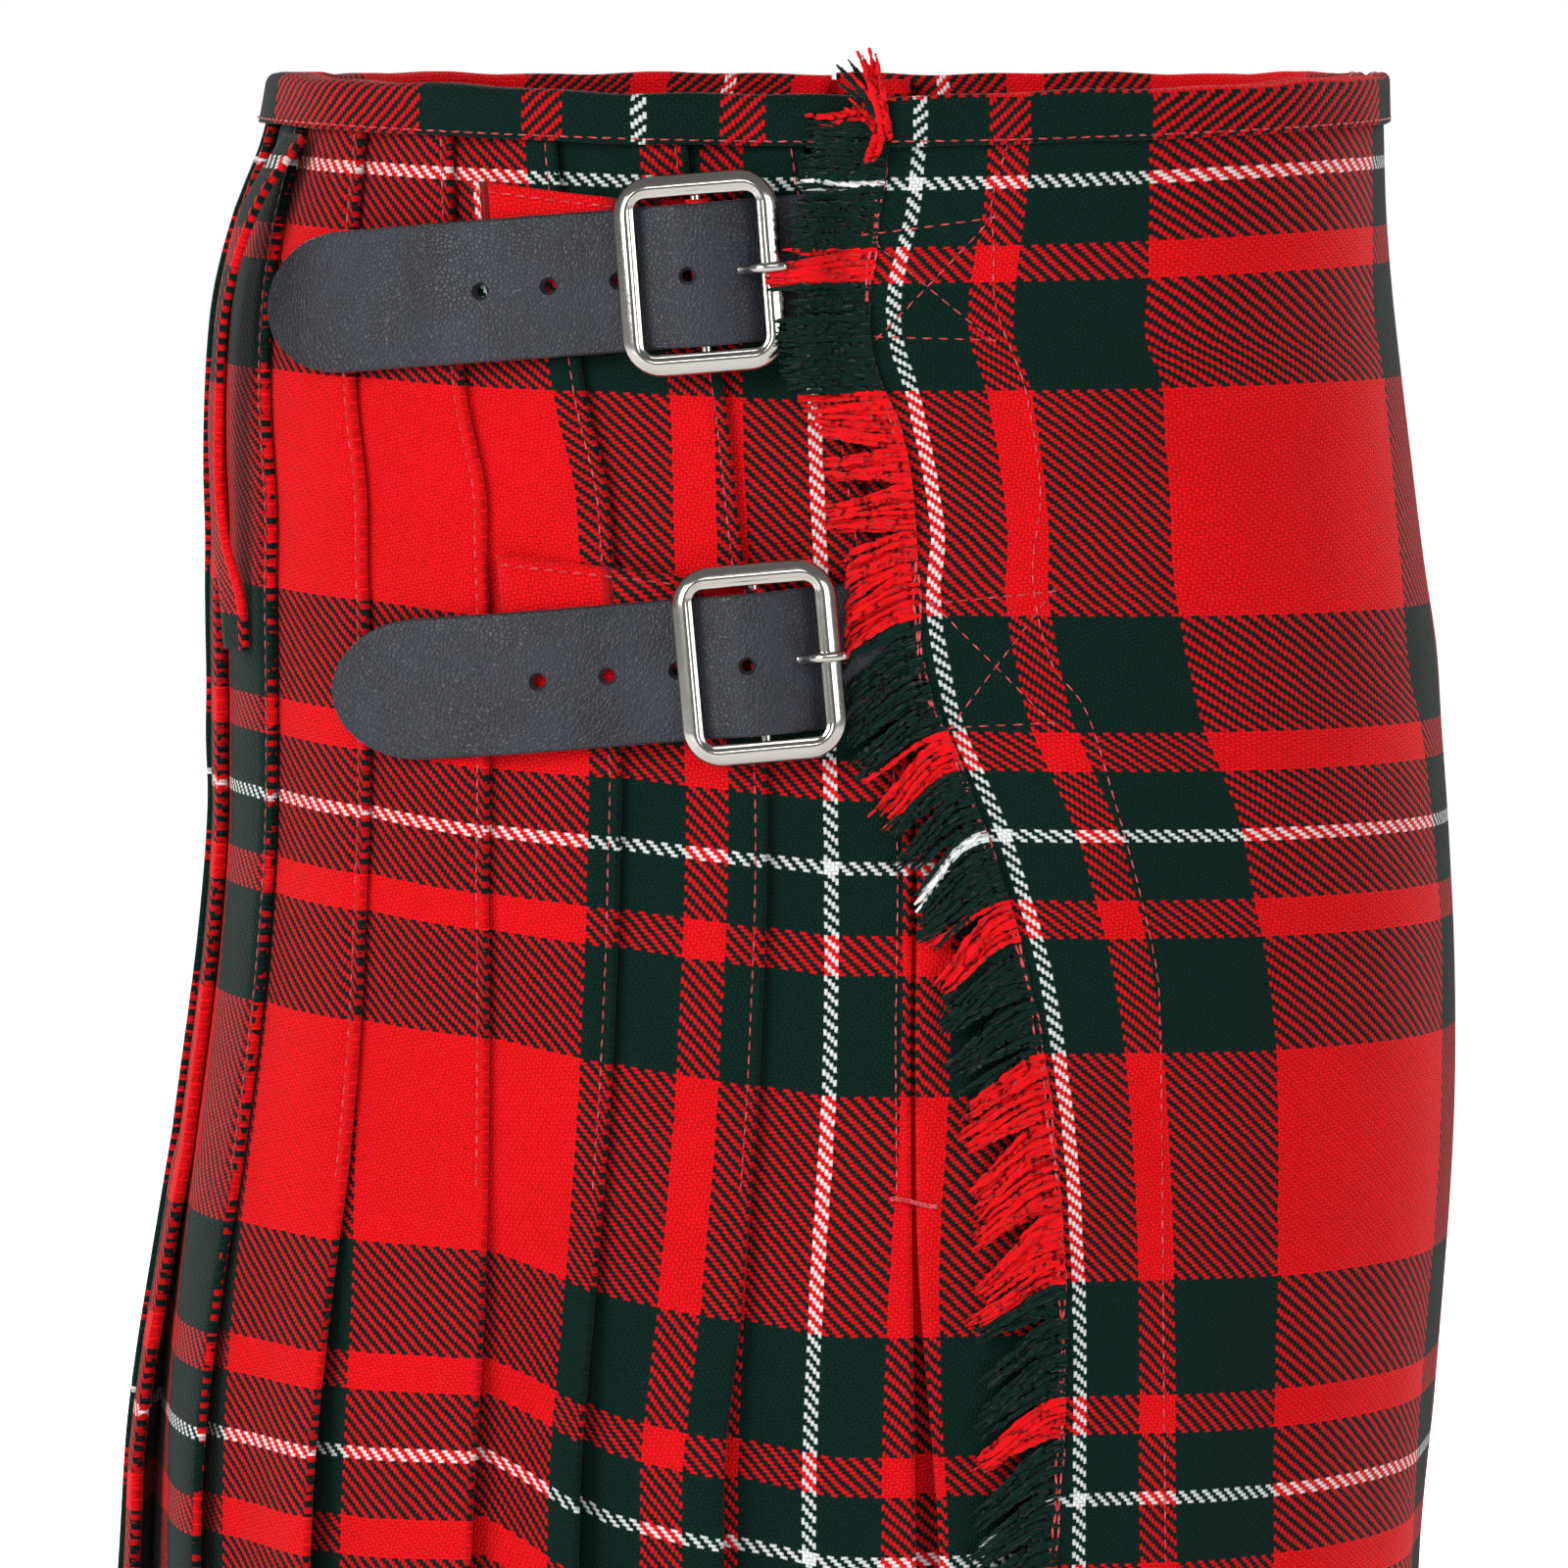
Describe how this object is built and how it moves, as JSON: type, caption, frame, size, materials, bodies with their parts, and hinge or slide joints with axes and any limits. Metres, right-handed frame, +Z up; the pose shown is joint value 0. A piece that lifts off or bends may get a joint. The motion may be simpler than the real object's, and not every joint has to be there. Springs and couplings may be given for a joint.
{
  "type": "pleated tartan kilt with strap fastenings, filled out as worn",
  "caption": "Knee-length wrap-over kilt in red and green tartan wool, with knife pleats, a fringed over apron and leather straps and buckles at the hips.",
  "frame": {"origin": "middle of the waist ring, level with the upper straps, where the wearer's waist holds the kilt", "axes": "+Z up, the front of the kilt faces -Y, the wearer's right hip with the two buckles faces -X"},
  "size_m": [0.2794, 0.3297, 0.61],
  "materials": {
    "tartan_wool": "napped worsted twill woven in a red, dark green and white check",
    "waistband_wool": "the same twill cut as a narrow folded binding",
    "fringe_wool": "combed-out weft yarns, soft and matt",
    "strap_leather": "black grained leather with a soft sheen and raw cut edges",
    "nickel_plate": "polished nickel plate on cast buckles"
  },
  "bodies": {
    "root": {"pleats_right": "tartan_wool", "pleats_back": "tartan_wool", "pleats_left": "tartan_wool", "over_apron": "tartan_wool", "under_apron": "tartan_wool", "waistband_pleats": "waistband_wool", "waistband_over_apron": "waistband_wool", "waistband_under_apron": "waistband_wool", "fringe": "fringe_wool", "strap_upper": "strap_leather", "tab_upper": "tartan_wool", "buckle_upper": "nickel_plate", "tongue_upper": "nickel_plate", "strap_lower": "strap_leather", "tab_lower": "tartan_wool", "buckle_lower": "nickel_plate", "tongue_lower": "nickel_plate", "strap_left": "strap_leather", "tab_left": "tartan_wool", "buckle_left": "nickel_plate", "tongue_left": "nickel_plate", "belt_loop_right": "tartan_wool", "belt_loop_left": "tartan_wool"}
  },
  "joints": []
}
